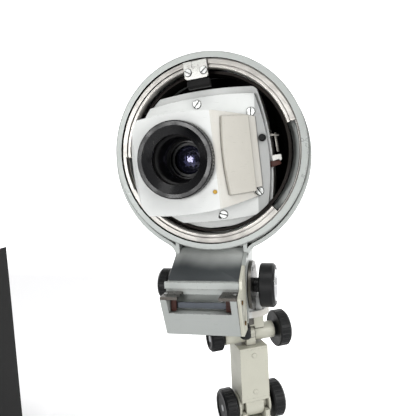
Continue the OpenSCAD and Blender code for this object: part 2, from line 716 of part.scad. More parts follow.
// Outline with four slightly bowed sides, half sizes w and h, bulging by bow, inside a round limit
module barrel_outline(w, h, bow_w, bow_h, limit) {
    side_r = bow_radius(h, bow_w);
    top_r = bow_radius(w, bow_h);
    intersection() {
        translate([body_mid[0] - side_r + w, body_mid[1]]) circle(r = side_r, $fn = 200);
        translate([body_mid[0] + side_r - w, body_mid[1]]) circle(r = side_r, $fn = 200);
        translate([body_mid[0], body_mid[1] - top_r + h]) circle(r = top_r, $fn = 200);
        translate([body_mid[0], body_mid[1] + top_r - h]) circle(r = top_r, $fn = 200);
        circle(r = limit);
    }
}
module front_plate() {
    color(white) in_camera() difference() {
        xz_plate(plate_y, plate_depth) barrel_outline(57, 55.5, 8.5, 5, hoop_r - 3);
        translate(lens_at(plate_y - 1)) y_cyl(bore_r + 2, plate_depth + 2);
        for (p = plate_screw_places()) translate([p[0], plate_y - 1, p[1]])
            y_cyl(plate_shank_r, plate_depth + 2);
        translate([button_at[0], plate_y - 1, button_at[1]]) y_cyl(button_r + gap, plate_depth + 2);
        translate([2.5, plate_y - 1, -58]) y_cyl(1.7, plate_depth + 2);
    }
}
plate_shank_r = 1.6;
function plate_screw_places() = [[-6.5, 43.6], [40.3, 30.5], [40.3, -38.5], [6, -56]];
module plate_screws() {
    color(steel) in_camera() for (k = [0:3]) let (p = plate_screw_places()[k])
        facing([p[0], plate_y, p[1]]) slot_screw(screw_head_r, 1, plate_shank_r, plate_depth + 6, 47 + 38 * k);
}
module body_shell() {
    color(white) in_camera() difference() {
        intersection() {
            xz_plate(shell_y, shell_depth) barrel_outline(59, 62, 9, 5, hoop_r - 3);
            translate([0, shell_y, 0]) y_cyl(hoop_r - 2.5, shell_depth);
        }
        xz_plate(shell_y + 4, shell_depth) barrel_outline(55, 58, 9, 5, hoop_r - 7);
        translate(lens_at(shell_y - 1)) y_cyl(bore_r, 6);
        for (p = plate_screw_places()) translate([p[0], shell_y - 1, p[1]]) y_cyl(plate_shank_r, 8);
        translate([button_at[0], shell_y - 1, button_at[1]]) y_cyl(button_r + gap, 4);
    }
}
hoop_y = 14;
hoop_w = 22;
// Light hoop that carries the camera and turns inside the ring
module carrier_hoop() {
    color([0.8, 0.74, 0.7]) in_camera() y_turn([[hoop_r - 2.5, hoop_y], [hoop_r, hoop_y],
        [hoop_r, hoop_y + hoop_w], [hoop_r - 2.5, hoop_y + hoop_w]]);
}
nose_left = -51.7;
nose_right = nose_left + nose_w;
nose_top = 32.3;
nose_low = nose_top - nose_h;
slope_end = 43.5;
bore_r = barrel_tube_r + gap;
function lens_at(y) = [-19, y, -4];
boss_r = 28;
boss_out = 3;
nose_bow = 9;
nose_ease = 5;
nose_cap = 2.2;
nose_corner_r = 64;
screw_spot = 14;
// Radius of an arc that stands sag above a chord of twice half
function bow_radius(half, sag) = (half * half + sag * sag) / (2 * sag);
// Outline of the nose seen from the front: bowed left, top and bottom sides and eased corners
module nose_outline(inset) {
    side_r = bow_radius(nose_h / 2, nose_bow);
    cap_r = bow_radius(nose_w / 2, nose_cap);
    middle_x = nose_left + nose_w / 2;
    middle_z = nose_low + nose_h / 2;
    reach = nose_h / 2 + nose_cap - cap_r;
    intersection() {
        translate([nose_left - nose_bow + side_r, middle_z]) circle(r = side_r - inset, $fn = 200);
        translate([middle_x, middle_z + reach]) circle(r = cap_r - inset, $fn = 200);
        translate([middle_x, middle_z - reach]) circle(r = cap_r - inset, $fn = 200);
        translate([0, middle_z]) circle(r = nose_corner_r - inset, $fn = 200);
    }
}
module nose_housing() {
    left = nose_left - nose_bow;
    color(white) in_camera() difference() {
        union() {
            intersection() {
                translate([0, 0, nose_low - nose_bow]) linear_extrude(nose_h + 2 * nose_bow)
                    polygon([[left, plate_y], [left, -nose_out + nose_ease], [left + nose_ease, -nose_out],
                        [nose_right, -nose_out], [nose_right + 1.5, -nose_out + 0.7],
                        [slope_end, plate_y - 2], [slope_end, plate_y]]);
                xz_plate(-nose_out, plate_y + nose_out) nose_outline(0);
            }
            translate(lens_at(-nose_out - boss_out)) y_cyl(boss_r, boss_out + 1);
        }
        translate(lens_at(-nose_out - boss_out - 1)) y_cyl(bore_r, 80);
        nose_hollow();
        for (k = [1, 2]) screw_pocket(plate_screw_places()[k]);
    }
}
// Room for a plate screw and its driver, open to the side of the nose
module screw_pocket(p) {
    r = screw_head_r + gap;
    translate([p[0], plate_y - screw_spot, p[1]]) {
        y_cyl(r, screw_spot + 1);
        translate([0, 0, -r]) cube([slope_end - p[0] + 1, screw_spot + 1, 2 * r]);
    }
}
nose_wall = 3;
// Space inside the nose around the lens tube
module nose_hollow() {
    w = nose_wall;
    left = nose_left - nose_bow;
    difference() {
        intersection() {
            translate([0, 0, nose_low - nose_bow]) linear_extrude(nose_h + 2 * nose_bow)
                polygon([[left, plate_y + 1], [left, -nose_out + 2 * w], [left + w + 1, -nose_out + w],
                    [nose_right - 2, -nose_out + w], [slope_end - 5, plate_y - 1],
                    [slope_end - 5, plate_y + 1]]);
            xz_plate(-nose_out, plate_y + nose_out + 2) nose_outline(w);
        }
        translate(lens_at(-nose_out)) y_cyl(bore_r + 2.5, 80);
    }
}
strip_left = 17.5;
strip_right = 38.5;
strip_h = 64;
strip_low = -37.5;
strip_t = 3;
slope_angle = atan2(plate_y - 2 + nose_out - 0.7, slope_end - nose_right - 1.5);
// Raised cover on the sloping side of the nose
module side_strip() {
    span = (strip_right - strip_left) / cos(slope_angle);
    along = (strip_left - nose_right - 1.5) / cos(slope_angle);
    bow = 2.5;
    bow_r = (strip_h * strip_h / 4 + bow * bow) / (2 * bow);
    color(cream) in_camera() translate([nose_right + 1.5, -nose_out + 0.7, 0]) rotate([0, 0, slope_angle])
        translate([along, -strip_t, strip_low]) difference() {
            linear_extrude(strip_h) polygon([[0, strip_t], [0, 0.6], [0.6, 0], [span - 2.5, 0], [span, 2],
                [span, strip_t]]);
            translate([bow_r, -1, strip_h / 2]) difference() {
                translate([-bow_r - 1, 0, -strip_h]) cube([bow + 1, strip_t + 2, 2 * strip_h]);
                y_cyl(bow_r, strip_t + 2);
            }
        }
}
module marker_dot() {
    color([0.75, 0.62, 0.15]) in_camera() translate([9.4, -nose_out - 0.6, -33.4]) y_cyl(1.7, 0.6);
}
button_at = [47.6, 7];
button_r = 3;
module index_button() {
    color(black) in_camera() translate([button_at[0], plate_y - 3, button_at[1]])
        y_turn([[0, 0], [button_r - 0.8, 0], [button_r, 0.8], [button_r, 8], [0, 8]]);
}

// ---- lens ----

focus_front = -nose_out - 9.5;
focus_hole_r = 20.6;
module focus_ring() {
    back = -nose_out - gap;
    web = -nose_out - boss_out - gap;
    color(black) in_camera() translate(lens_at(0)) difference() {
        y_turn([[focus_hole_r, web - 2.2], [focus_r - 4, focus_front], [focus_r - 1, focus_front],
            [focus_r, focus_front + 1], [focus_r, back], [boss_r + gap, back], [boss_r + gap, web],
            [focus_hole_r, web]]);
        for (k = [0:71]) rotate([0, 5 * k, 0]) translate([focus_r + 0.45, focus_front + 3.5, 0])
            y_cyl(0.8, 3.5);
    }
}
glass_y = 10;
module lens_barrel() {
    front = -nose_out - boss_out + 3.5;
    color(black) in_camera() translate(lens_at(0)) y_turn([[barrel_tube_r - 3.2, front],
        [barrel_tube_r, front], [barrel_tube_r, glass_y + 22], [glass_r - 2, glass_y + 22],
        [glass_r - 2, glass_y + 18.2], [rear_glass_r, glass_y + 18.2], [rear_glass_r, glass_y + 14],
        [glass_r - 2, glass_y + 14], [glass_r - 2, glass_y + 5], [glass_r, glass_y + 5],
        [glass_r, glass_y - 2.5], [glass_r + 1.5, glass_y - 2.5], [glass_r + 1.5, glass_y - 9],
        [glass_r + 3.5, glass_y - 9], [glass_r + 3.5, glass_y - 20]]);
}
rear_glass_r = glass_r - 1;
// Ground glass with one or two curved faces, turned from arcs
function cap_arc(r, sag, y, s) = let (b = (r * r + sag * sag) / (2 * sag))
    [for (k = [0:8]) let (a = asin(r / b) * k / 8) [b * sin(a), y + s * (b * cos(a) - b + sag)]];
module front_glass() {
    color([0.2, 0.25, 0.3]) in_camera() translate(lens_at(glass_y))
        y_turn(concat(cap_arc(glass_r, 3, 0, -1), [[glass_r, 5], [0, 5]]));
}
module rear_glass() {
    color([0.2, 0.25, 0.3]) in_camera() translate(lens_at(glass_y + 14))
        y_turn([[0, 0.8], [rear_glass_r, 0], [rear_glass_r, 4.2], [0, 4.2]]);
}
board_y = glass_y + 29;
module sensor_board() {
    color([0.1, 0.35, 0.2]) in_camera() xz_plate(board_y, 1.6) barrel_outline(54.8, 57.8, 9, 5, hoop_r - 7);
}
module sensor_tube() {
    color(steel) in_camera() translate(lens_at(board_y - 3)) y_cyl(9, 3);
}

tripod_hub();
thread_insert();
leg_pins();
leg(0);  // leg_1
leg(1);  // leg_2
leg(2);  // leg_3
foot(0);  // foot_1
foot(1);  // foot_2
foot(2);  // foot_3
yoke();
yoke_washers();
arm_tube();
arm_tongue();
arm_ear();
arm_rivets();
base_bolt();
base_knob_right();
base_knob_left();
knuckle();
pan_bush();
pan_lock();
elbow_bolt();
elbow_knob_right();
elbow_knob_left();
head_base();
pan_spindle();
sector_plate();
sector_screws();
tilt_bolt();
tilt_knob_right();
tilt_knob_left();
tilt_cap();
ring_bracket();
inner_ring();
rear_dome();
dome_screws();
rear_socket();
latch_plate();
latch_screws();
latch_catch();
side_cover();
cover_screws();
shoe_block();
jaw_plates();
jaw_screws();
clamp_bar();
carrier_hoop();
body_shell();
front_plate();
plate_screws();
nose_housing();
side_strip();
marker_dot();
index_button();
focus_ring();
lens_barrel();
front_glass();
rear_glass();
sensor_board();
sensor_tube();
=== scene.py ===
"""Looks of the ring-mounted camera head on its clamp arm and table tripod."""

import math

import bmesh
import bpy
from mathutils import Matrix, Vector


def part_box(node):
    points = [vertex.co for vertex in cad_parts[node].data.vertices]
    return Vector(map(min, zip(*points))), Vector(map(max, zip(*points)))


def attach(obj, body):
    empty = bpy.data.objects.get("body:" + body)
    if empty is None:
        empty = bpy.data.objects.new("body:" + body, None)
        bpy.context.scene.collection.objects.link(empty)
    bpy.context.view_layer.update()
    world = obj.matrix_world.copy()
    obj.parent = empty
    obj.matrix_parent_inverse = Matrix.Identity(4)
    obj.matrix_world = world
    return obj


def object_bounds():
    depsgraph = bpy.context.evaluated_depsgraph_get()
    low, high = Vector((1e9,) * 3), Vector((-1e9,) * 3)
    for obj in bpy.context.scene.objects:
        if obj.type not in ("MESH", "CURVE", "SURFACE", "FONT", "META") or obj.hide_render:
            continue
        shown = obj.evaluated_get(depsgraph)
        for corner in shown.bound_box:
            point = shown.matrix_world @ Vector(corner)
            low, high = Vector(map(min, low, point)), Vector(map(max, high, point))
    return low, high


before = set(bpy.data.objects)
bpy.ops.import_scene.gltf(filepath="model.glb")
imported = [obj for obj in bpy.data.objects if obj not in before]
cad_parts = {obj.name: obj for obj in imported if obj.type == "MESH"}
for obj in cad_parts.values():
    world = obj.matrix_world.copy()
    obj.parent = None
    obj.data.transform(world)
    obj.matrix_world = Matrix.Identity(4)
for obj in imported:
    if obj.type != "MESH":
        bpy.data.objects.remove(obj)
CAD_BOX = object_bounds()
MM = 0.001

# ---- places, worked out from the frame ----


def middle_of(name):
    """The middle of a CAD node's box."""
    lo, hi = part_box(name)
    return (lo + hi) / 2


LIP_DEPTH = 1.4  # mm from the casting's front face to the turned ring's lip
ring_lo, ring_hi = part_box("inner_ring")
RING = Vector((middle_of("carrier_hoop").x, ring_lo.y - LIP_DEPTH * MM, middle_of("carrier_hoop").z))
LENS = Vector((middle_of("focus_ring").x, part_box("focus_ring")[0].y, middle_of("focus_ring").z))
FLOOR_Z = CAD_BOX[0].z

# turns and sizes that the CAD source gives, in degrees and mm
ARM_YAW = math.radians(31)
ARM_HALF_WIDTH = 14.0
CAMERA_TURN = 4
LATCH_TURN = 5
LEG_HINGE_OUT, LEG_HINGE_UP = 25.0, 12.0
LEG_SPREAD = math.radians(60)
LEG_FIRST = 234


# ---- node helpers ----

MIX_A, MIX_B, MIX_OUT = 6, 7, 2  # the colour sockets of a Mix node


def rgb(r, g, b):
    """A colour given in 0 to 255 display values, as the linear colour a shader takes."""

    def linear(v):
        v /= 255
        return v / 12.92 if v <= 0.04045 else ((v + 0.055) / 1.055) ** 2.4

    return (linear(r), linear(g), linear(b), 1.0)


class Paint:
    """A material with its own node tree, and short calls that add nodes to it."""

    def __init__(self, name):
        self.material = bpy.data.materials.new(name)
        self.material.use_nodes = True
        self.tree = self.material.node_tree
        self.bsdf = self.tree.nodes["Principled BSDF"]
        self.coords = self.add("TexCoord").outputs["Object"]

    def add(self, kind, inputs=None, **settings):
        made = self.tree.nodes.new("ShaderNode" + kind)
        for key, value in settings.items():
            setattr(made, key, value)
        for key, value in (inputs or {}).items():
            self.feed(made.inputs[key], value)
        return made

    def feed(self, socket, value):
        if isinstance(value, bpy.types.NodeSocket):
            self.tree.links.new(value, socket)
        else:
            socket.default_value = value

    def set(self, **values):
        """Feeds the shader's sockets; an underscore stands for a space."""
        for key, value in values.items():
            self.feed(self.bsdf.inputs[key.replace("_", " ")], value)
        return self

    def stretch(self, x, y, z):
        return self.add("Mapping", {"Vector": self.coords, "Scale": (x, y, z)}).outputs["Vector"]

    def noise(self, scale, detail=3.0, rough=0.5, vector=None, distortion=0.0):
        made = self.add("TexNoise", {
            "Vector": vector or self.coords, "Scale": scale, "Detail": detail,
            "Roughness": rough, "Distortion": distortion})
        return made.outputs["Fac"]

    def ramp(self, value, low, high, from_low=0.0, from_high=1.0):
        """Maps value's stretch low..high to from_low..from_high, held at the ends."""
        made = self.add("MapRange", {
            "Value": value, "From Min": low, "From Max": high,
            "To Min": from_low, "To Max": from_high}, interpolation_type="SMOOTHSTEP")
        return made.outputs["Result"]

    def math(self, operation, a, b=0.0, c=0.0):
        return self.add("Math", {0: a, 1: b, 2: c}, operation=operation).outputs["Value"]

    def mix(self, share, a, b):
        made = self.add("Mix", {"Factor": share}, data_type="RGBA")
        self.feed(made.inputs[MIX_A], a)
        self.feed(made.inputs[MIX_B], b)
        return made.outputs[MIX_OUT]

    def dot(self, a, b):
        made = self.add("VectorMath", {0: a, 1: b}, operation="DOT_PRODUCT")
        return made.outputs["Value"]

    def edges(self, radius):
        """1 on convex edges, 0 elsewhere."""
        soft = self.add("Bevel", {"Radius": radius}, samples=4).outputs["Normal"]
        true = self.add("NewGeometry").outputs["Normal"]
        bend = self.math("SUBTRACT", 1.0, self.dot(soft, true))
        open_side = self.add("AmbientOcclusion", {"Distance": radius * 3}, samples=4)
        out = self.ramp(open_side.outputs["AO"], 0.55, 0.85)
        return self.math("MULTIPLY", self.ramp(bend, 0.01, 0.12), out)

    def crevices(self, reach):
        """1 in corners and gaps, 0 on open surfaces."""
        shut = self.add("AmbientOcclusion", {"Distance": reach}, samples=6)
        return self.ramp(shut.outputs["AO"], 0.35, 0.9, 1.0, 0.0)

    def bump(self, height, strength, distance, round_edges=0.0003):
        under = self.add("Bevel", {"Radius": round_edges}, samples=4).outputs["Normal"]
        made = self.add("Bump", {
            "Height": height, "Strength": strength, "Distance": distance, "Normal": under})
        self.feed(self.bsdf.inputs["Normal"], made.outputs["Normal"])
        return self


# ---- materials ----


def scaled(colour, share):
    """A colour made darker or lighter, held at white."""
    return tuple(min(1, share * c) for c in colour[:3]) + (1,)


def sprayed(name, colour, worn, dirt, roughness=0.42, chips=0.5, soil=0.35, gloss=0.0, warm_side=None,
            dim_from=None):
    """Sprayed paint on metal: uneven tone, chipped edges, soil and painted shade in the corners, fine
    orange peel.

    gloss is the share of metal flake, the right-side colour a painted shade on faces turned to the right,
    and the darkening X the X beyond which a painted shade darkens the paint.
    """
    p = Paint(name)
    colour_now = colour
    # painted shade: faces turned to the right take a darker, warmer colour, as if turned away from the
    # light
    if warm_side:
        turned_right = p.ramp(p.dot(p.add("TexCoord").outputs["Normal"], (1, 0, 0)), 0.3, 0.45)
        colour_now = p.mix(turned_right, colour, warm_side)
    cloud = p.noise(28, 5, 0.6)
    tone = p.mix(p.ramp(cloud, 0.35, 0.7, 0.0, 0.35), colour_now, scaled(colour, 0.86))
    specks = p.ramp(p.noise(900, 3, 0.7), 0.66, 0.72, 0.0, 0.35)
    tone = p.mix(specks, tone, dirt)
    # soil mixed with painted shade: ambient occlusion darkens the corners toward the soil colour, broken up
    # by noise
    grime = p.math("MULTIPLY", p.crevices(0.004), p.ramp(p.noise(160, 4, 0.65), 0.3, 0.65, 0.25, 1.0))
    tone = p.mix(p.math("MULTIPLY", grime, soil), tone, dirt)
    # painted shade: dark contact lines in the tight crevices and joins between parts
    tone = p.mix(p.math("MULTIPLY", p.crevices(0.0015), 0.7), tone, rgb(34, 32, 29))
    # painted shade: the paint darkens past the given X, standing in for a fold of the plate turned away
    # from the light
    if dim_from:
        across = p.add("SeparateXYZ", {0: p.coords}).outputs["X"]
        tone = p.mix(p.ramp(across, dim_from - 0.0012, dim_from + 0.0004, 0.0, 0.62), tone, rgb(96, 97, 96))
    chipped = p.ramp(p.noise(420, 5, 0.75), 0.5, 0.56)
    edge = p.math("MULTIPLY", p.edges(0.0009), chipped)
    scratch_lines = p.noise(70, 4, 0.6, p.stretch(1.0, 1.0, 22.0), 0.4)
    scratch = p.math("MULTIPLY", p.ramp(scratch_lines, 0.685, 0.7), 0.35)
    bare = p.math("MAXIMUM", p.math("MULTIPLY", edge, chips), scratch)
    p.set(Base_Color=p.mix(bare, tone, worn), Metallic=p.ramp(bare, 0.0, 1.0, gloss, 0.8),
          Roughness=p.math("ADD", roughness, p.ramp(cloud, 0.3, 0.7, -0.06, 0.08)),
          Specular_IOR_Level=0.45)
    peel = p.math("ADD", p.noise(1500, 2, 0.5), p.math("MULTIPLY", bare, -1.5))
    return p.bump(peel, 0.10, 0.0002)


def enamel(name, colour, worn, dirt, *amounts, **looks):
    return sprayed(name, colour, worn, dirt, *amounts, **looks).material


def turned(name, colour, centre, roughness):
    """Bare metal turned on a lathe about the Y axis through centre."""
    p = Paint(name)
    away = p.add("VectorMath", {0: p.coords, 1: tuple(centre)}, operation="SUBTRACT").outputs["Vector"]
    flat = p.add("VectorMath", {0: away, 1: (1, 0, 1)}, operation="MULTIPLY").outputs["Vector"]
    radius = p.add("VectorMath", {0: flat}, operation="LENGTH").outputs["Value"]
    lines = p.add("TexNoise", {"W": radius, "Scale": 2600.0, "Detail": 3.0}, noise_dimensions="1D")
    rings = lines.outputs["Fac"]
    stain = p.noise(45, 5, 0.6)
    dull = p.mix(p.ramp(stain, 0.42, 0.66), colour, scaled(colour, 0.72))
    # painted shade: the turned metal darkens in its crevices
    dark = p.mix(p.math("MULTIPLY", p.crevices(0.003), 0.6), dull, rgb(58, 52, 48))
    p.set(Base_Color=dark, Metallic=1.0, Anisotropic=0.5,
          Roughness=p.ramp(rings, 0.2, 0.8, roughness - 0.06, roughness + 0.14))
    return p.bump(rings, 0.25, 0.00012).material


def metal(name, colour, roughness, brush=(1.0, 1.0, 18.0), stain=rgb(70, 66, 60), amount=0.4):
    """Plated or brushed metal with fine lines and a little tarnish."""
    p = Paint(name)
    lines = p.noise(240, 4, 0.6, p.stretch(*brush))
    spots = p.ramp(p.noise(130, 6, 0.7), 0.5, 0.72)
    tarnish = p.math("MULTIPLY", p.math("MAXIMUM", spots, p.crevices(0.0025)), amount)
    p.set(Base_Color=p.mix(tarnish, colour, stain), Metallic=1.0,
          Roughness=p.ramp(lines, 0.3, 0.7, roughness - 0.05, roughness + 0.12))
    return p.bump(lines, 0.12, 0.0001).material


def dark_plastic(name, colour, worn, roughness=0.42, shine=0.22):
    """Moulded black plastic: dusty, fine matt grain, rubbed edges."""
    p = Paint(name)
    dust = p.math("MULTIPLY", p.ramp(p.noise(85, 6, 0.7), 0.45, 0.75), 0.4)
    edge = p.math("MULTIPLY", p.edges(0.0008), p.ramp(p.noise(350, 4, 0.7), 0.42, 0.6))
    tone = p.mix(dust, colour, scaled(colour, 2.1))
    p.set(Base_Color=p.mix(p.math("MULTIPLY", edge, 0.55), tone, worn),
          Roughness=p.ramp(p.noise(60, 4), 0.3, 0.7, roughness - 0.08, roughness + 0.1),
          Specular_IOR_Level=shine)
    return p.bump(p.noise(2600, 2, 0.6), 0.18, 0.00015).material


def anodised(name, colour, bare, roughness=0.33, chips=0.8):
    """Black anodised aluminium, scratched to bare metal on its edges."""
    p = Paint(name)
    edge = p.math("MULTIPLY", p.edges(0.0007), p.ramp(p.noise(300, 5, 0.75), 0.48, 0.58))
    fine = p.ramp(p.noise(110, 5, 0.7, p.stretch(14, 1, 1), 0.6), 0.66, 0.7, 0.0, 0.45)
    shine = p.math("MAXIMUM", p.math("MULTIPLY", edge, chips), fine)
    p.set(Base_Color=p.mix(shine, colour, bare), Metallic=p.math("MULTIPLY", shine, 0.8),
          Roughness=p.ramp(p.noise(90, 4), 0.3, 0.7, roughness - 0.05, roughness + 0.12),
          Specular_IOR_Level=0.3)
    return p.bump(p.noise(1800, 2, 0.5), 0.1, 0.0001).material


def screw_metal(name, colour, dark):
    """Plated screw heads: bright faces, with painted shade darkening the slots and the seam round the head.
    """
    p = Paint(name)
    # painted shade: ambient occlusion darkens the slot and the seam round the head; the worn patches are
    # real wear
    seam = p.crevices(0.0016)
    wear = p.ramp(p.noise(500, 4, 0.7), 0.45, 0.62, 0.0, 0.35)
    tone = p.mix(p.math("MAXIMUM", p.ramp(seam, 0.15, 0.6), wear), colour, dark)
    p.set(Base_Color=tone, Metallic=0.45, Roughness=p.ramp(p.noise(300, 3), 0.3, 0.7, 0.25, 0.4))
    return p.bump(p.noise(900, 2), 0.08, 0.0001).material


def polished_slope(name, high, low, z_high, z_low):
    """Dark polished metal whose tone falls from high to low between two heights; the light top is a painted
    highlight.
    """
    p = Paint(name)
    height = p.add("SeparateXYZ", {0: p.coords}).outputs["Z"]
    across = p.noise(26, 3, 0.5, p.stretch(1.0, 0.4, 0.4), 0.3)
    wavy = p.math("MULTIPLY_ADD", across, 0.012, height)
    # painted highlight: the upper part of the slope, under the ring, is lighter
    fall = p.ramp(wavy, z_low + 0.006, z_high + 0.006)
    smears = p.ramp(p.noise(240, 5, 0.65, p.stretch(1.0, 4.0, 4.0)), 0.5, 0.8, 0.0, 0.2)
    tone = p.mix(smears, p.mix(fall, low, high), rgb(84, 86, 88))
    p.set(Base_Color=tone, Metallic=0.25, Roughness=p.ramp(across, 0.3, 0.7, 0.3, 0.4))
    return p.bump(p.noise(1400, 2), 0.03, 0.0001).material


def glass(name, tint):
    """Coated lens glass over a dark barrel."""
    p = Paint(name)
    film = p.noise(35, 3, 0.5)
    p.set(Base_Color=tint, Transmission_Weight=0.85, IOR=1.55, Coat_Weight=0.6, Coat_Roughness=0.02,
          Roughness=p.ramp(film, 0.3, 0.8, 0.01, 0.05), Specular_Tint=rgb(190, 185, 235))
    return p.bump(film, 0.01, 0.00005, 0.0001).material


def two_faced(name, outside, inside, centre, depth_axis=True, **looks):
    """Enamel outside, and black painted shade on every face within reach of centre that looks towards it.

    Without depth_axis, centre stands for the whole Y axis through it.
    """
    p = sprayed(name, outside, **looks)
    away = p.add("VectorMath", {0: p.coords, 1: tuple(centre)}, operation="SUBTRACT").outputs["Vector"]
    share = (1, 1 if depth_axis else 0, 1)
    flat = p.add("VectorMath", {0: away, 1: share}, operation="MULTIPLY").outputs["Vector"]
    unit = p.add("VectorMath", {0: flat}, operation="NORMALIZE").outputs["Vector"]
    facing = p.dot(p.add("TexCoord").outputs["Normal"], unit)
    within = p.add("VectorMath", {0: flat}, operation="LENGTH").outputs["Value"]
    near = p.ramp(within, BLACK_REACH, BLACK_REACH + 0.0004, 1.0, 0.0)
    # painted shade: inward faces near the axis turn black, standing in for the shade inside the casting
    inner = p.math("MULTIPLY", p.ramp(facing, -0.2, -0.1, 1.0, 0.0), near)
    was = p.bsdf.inputs["Base Color"].links[0].from_socket
    rough = p.bsdf.inputs["Roughness"].links[0].from_socket
    metal_share = p.bsdf.inputs["Metallic"].links[0].from_socket
    outer = p.math("SUBTRACT", 1.0, inner)
    p.set(Base_Color=p.mix(inner, was, inside), Metallic=p.math("MULTIPLY", metal_share, outer),
          Roughness=p.math("MAXIMUM", rough, p.math("MULTIPLY", inner, 0.8)),
          Specular_IOR_Level=p.math("MULTIPLY_ADD", outer, 0.4, 0.03))
    return p.material


# reach of the black painted shade inside the ring and the dome
BLACK_REACH = 0.0812  # metres from the ring's axis

GREY = rgb(174, 178, 175)
WHITE = rgb(222, 224, 222)
CREAM = rgb(190, 189, 175)
# soil colour, also used as the colour of the painted shade in corners
SOIL = rgb(80, 73, 62)
BARE = rgb(98, 98, 98)
PRIMER = rgb(120, 118, 112)
# black for the painted shade inside the casting and the dome
BLACK_INSIDE = rgb(14, 12, 12)

LOOKS = {
    "casting": enamel("casting_enamel", GREY, BARE, SOIL, 0.34, 0.8, 0.45, gloss=0.25),
    # the nose's slope takes a painted shade on faces turned to the right
    "body": enamel("body_enamel", WHITE, PRIMER, SOIL, 0.42, 0.55, 0.4, warm_side=rgb(201, 198, 190)),
    # the plate takes a painted shade past the side strip's right edge
    "plate": enamel("plate_enamel", WHITE, PRIMER, SOIL, 0.42, 0.55, 0.4,
                    dim_from=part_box("side_strip")[1].x),
    "cream": enamel("cream_enamel", CREAM, rgb(120, 118, 106), SOIL, 0.36, 0.6, 0.55, gloss=0.1),
    "strip": enamel("strip_enamel", rgb(192, 189, 180), rgb(120, 114, 104), SOIL, 0.45, 0.5, 0.45),
    # dome and bracket: enamel outside, black painted shade on their inward faces
    "dome": two_faced("dome_enamel", GREY, BLACK_INSIDE, RING + Vector((0, 0.01, 0)),
                      worn=BARE, dirt=SOIL, roughness=0.4, chips=0.6),
    "bracket": two_faced("bracket_enamel", GREY, BLACK_INSIDE, RING, depth_axis=False,
                         worn=BARE, dirt=SOIL, roughness=0.32, chips=0.9, soil=0.5, gloss=0.35),
    "turned": turned("turned_metal", rgb(186, 183, 178), RING, 0.32),
    # the hoop's dark colour is a painted shade, standing in for the shade inside the ring
    "hoop": turned("hoop_metal", rgb(44, 41, 39), RING, 0.5),
    "steel": metal("plated_steel", rgb(170, 172, 174), 0.32),
    "drilled": metal("dark_steel", rgb(96, 94, 90), 0.3),
    "latch": metal("latch_steel", rgb(178, 178, 174), 0.3),
    "jaw": metal("jaw_steel", rgb(96, 92, 88), 0.28, (14, 1, 1), amount=0.55),
    "screw": screw_metal("screw_steel", rgb(206, 208, 206), rgb(30, 28, 26)),
    "bar": metal("bar_steel", rgb(84, 88, 94), 0.34, (18, 1, 1), amount=0.6),
    "bright": metal("bright_steel", rgb(212, 213, 214), 0.14, amount=0.15),
    "leg": metal("leg_aluminium", rgb(178, 180, 182), 0.3, (1, 1, 1.5), amount=0.25),
    "brass": metal("old_brass", rgb(120, 92, 58), 0.4, stain=rgb(60, 46, 30), amount=0.6),
    "knob": dark_plastic("knob_plastic", rgb(12, 13, 14), rgb(62, 64, 64), 0.4, 0.24),
    "catch": dark_plastic("catch_black", rgb(12, 12, 12), rgb(44, 42, 40), 0.5),
    "rubber": dark_plastic("foot_rubber", rgb(24, 24, 24), rgb(56, 56, 56), 0.6),
    "focus": anodised("focus_anodised", rgb(13, 13, 15), rgb(150, 148, 142), 0.24, 0.3),
    "well": anodised("well_black", rgb(9, 8, 9), rgb(52, 50, 48), 0.36, 0.2),
    "dot": dark_plastic("dot_yellow", rgb(186, 146, 40), rgb(110, 90, 40), 0.35),
    "glass": glass("lens_glass", rgb(70, 72, 92)),
    "board": dark_plastic("board_green", rgb(28, 84, 54), rgb(60, 120, 90), 0.4),
    "fibre": dark_plastic("slot_fibre", rgb(62, 34, 28), rgb(100, 64, 52), 0.5),
    "index": dark_plastic("index_white", rgb(220, 220, 214), rgb(160, 160, 150), 0.4),
    # the light upper colour is a painted highlight under the ring
    "ramp": polished_slope("ramp_metal", rgb(214, 217, 214), rgb(58, 62, 64),
                           RING.z - 0.086, RING.z - 0.101),
}

NODE_LOOKS = {
    "casting": ["shoe_block"],
    "bracket": ["ring_bracket"],
    "dome": ["rear_dome"],
    "body": ["head_base", "body_shell", "nose_housing"],
    "plate": ["front_plate"],
    "cream": ["tripod_hub", "yoke", "yoke_washers", "arm_tube", "arm_tongue", "arm_ear", "knuckle",
              "side_cover"],
    "strip": ["side_strip"],
    "turned": ["inner_ring"],
    "hoop": ["carrier_hoop"],
    "steel": ["leg_pins", "arm_rivets", "base_bolt", "elbow_bolt", "pan_spindle", "sector_screws",
              "tilt_bolt", "dome_screws", "rear_socket", "sensor_tube"],
    "drilled": ["sector_plate", "pan_bush"],
    "latch": ["latch_plate"],
    "jaw": ["jaw_plates"],
    "screw": ["plate_screws", "latch_screws", "jaw_screws"],
    "bar": ["clamp_bar"],
    "bright": ["tilt_cap"],
    "leg": ["leg_1", "leg_2", "leg_3"],
    "brass": ["thread_insert", "cover_screws"],
    "knob": ["base_knob_right", "base_knob_left", "elbow_knob_right", "elbow_knob_left",
             "tilt_knob_right", "tilt_knob_left"],
    "catch": ["latch_catch", "index_button"],
    "rubber": ["foot_1", "foot_2", "foot_3"],
    "focus": ["focus_ring", "pan_lock"],
    "well": ["lens_barrel"],
    "dot": ["marker_dot"],
    "glass": ["front_glass", "rear_glass"],
    "board": ["sensor_board"],
}

for look, names in NODE_LOOKS.items():
    for name in names:
        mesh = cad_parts[name].data
        mesh.materials.clear()
        mesh.materials.append(LOOKS[look])


# Widths of the rounds on the edges of the cast and moulded pieces, in mm
ROUNDS = {"nose_housing": 1.3, "body_shell": 1.0, "shoe_block": 0.7, "side_cover": 0.7, "side_strip": 0.5,
          "yoke": 0.9, "latch_catch": 0.6, "knuckle": 0.6}
WELD_REACH = 2e-6

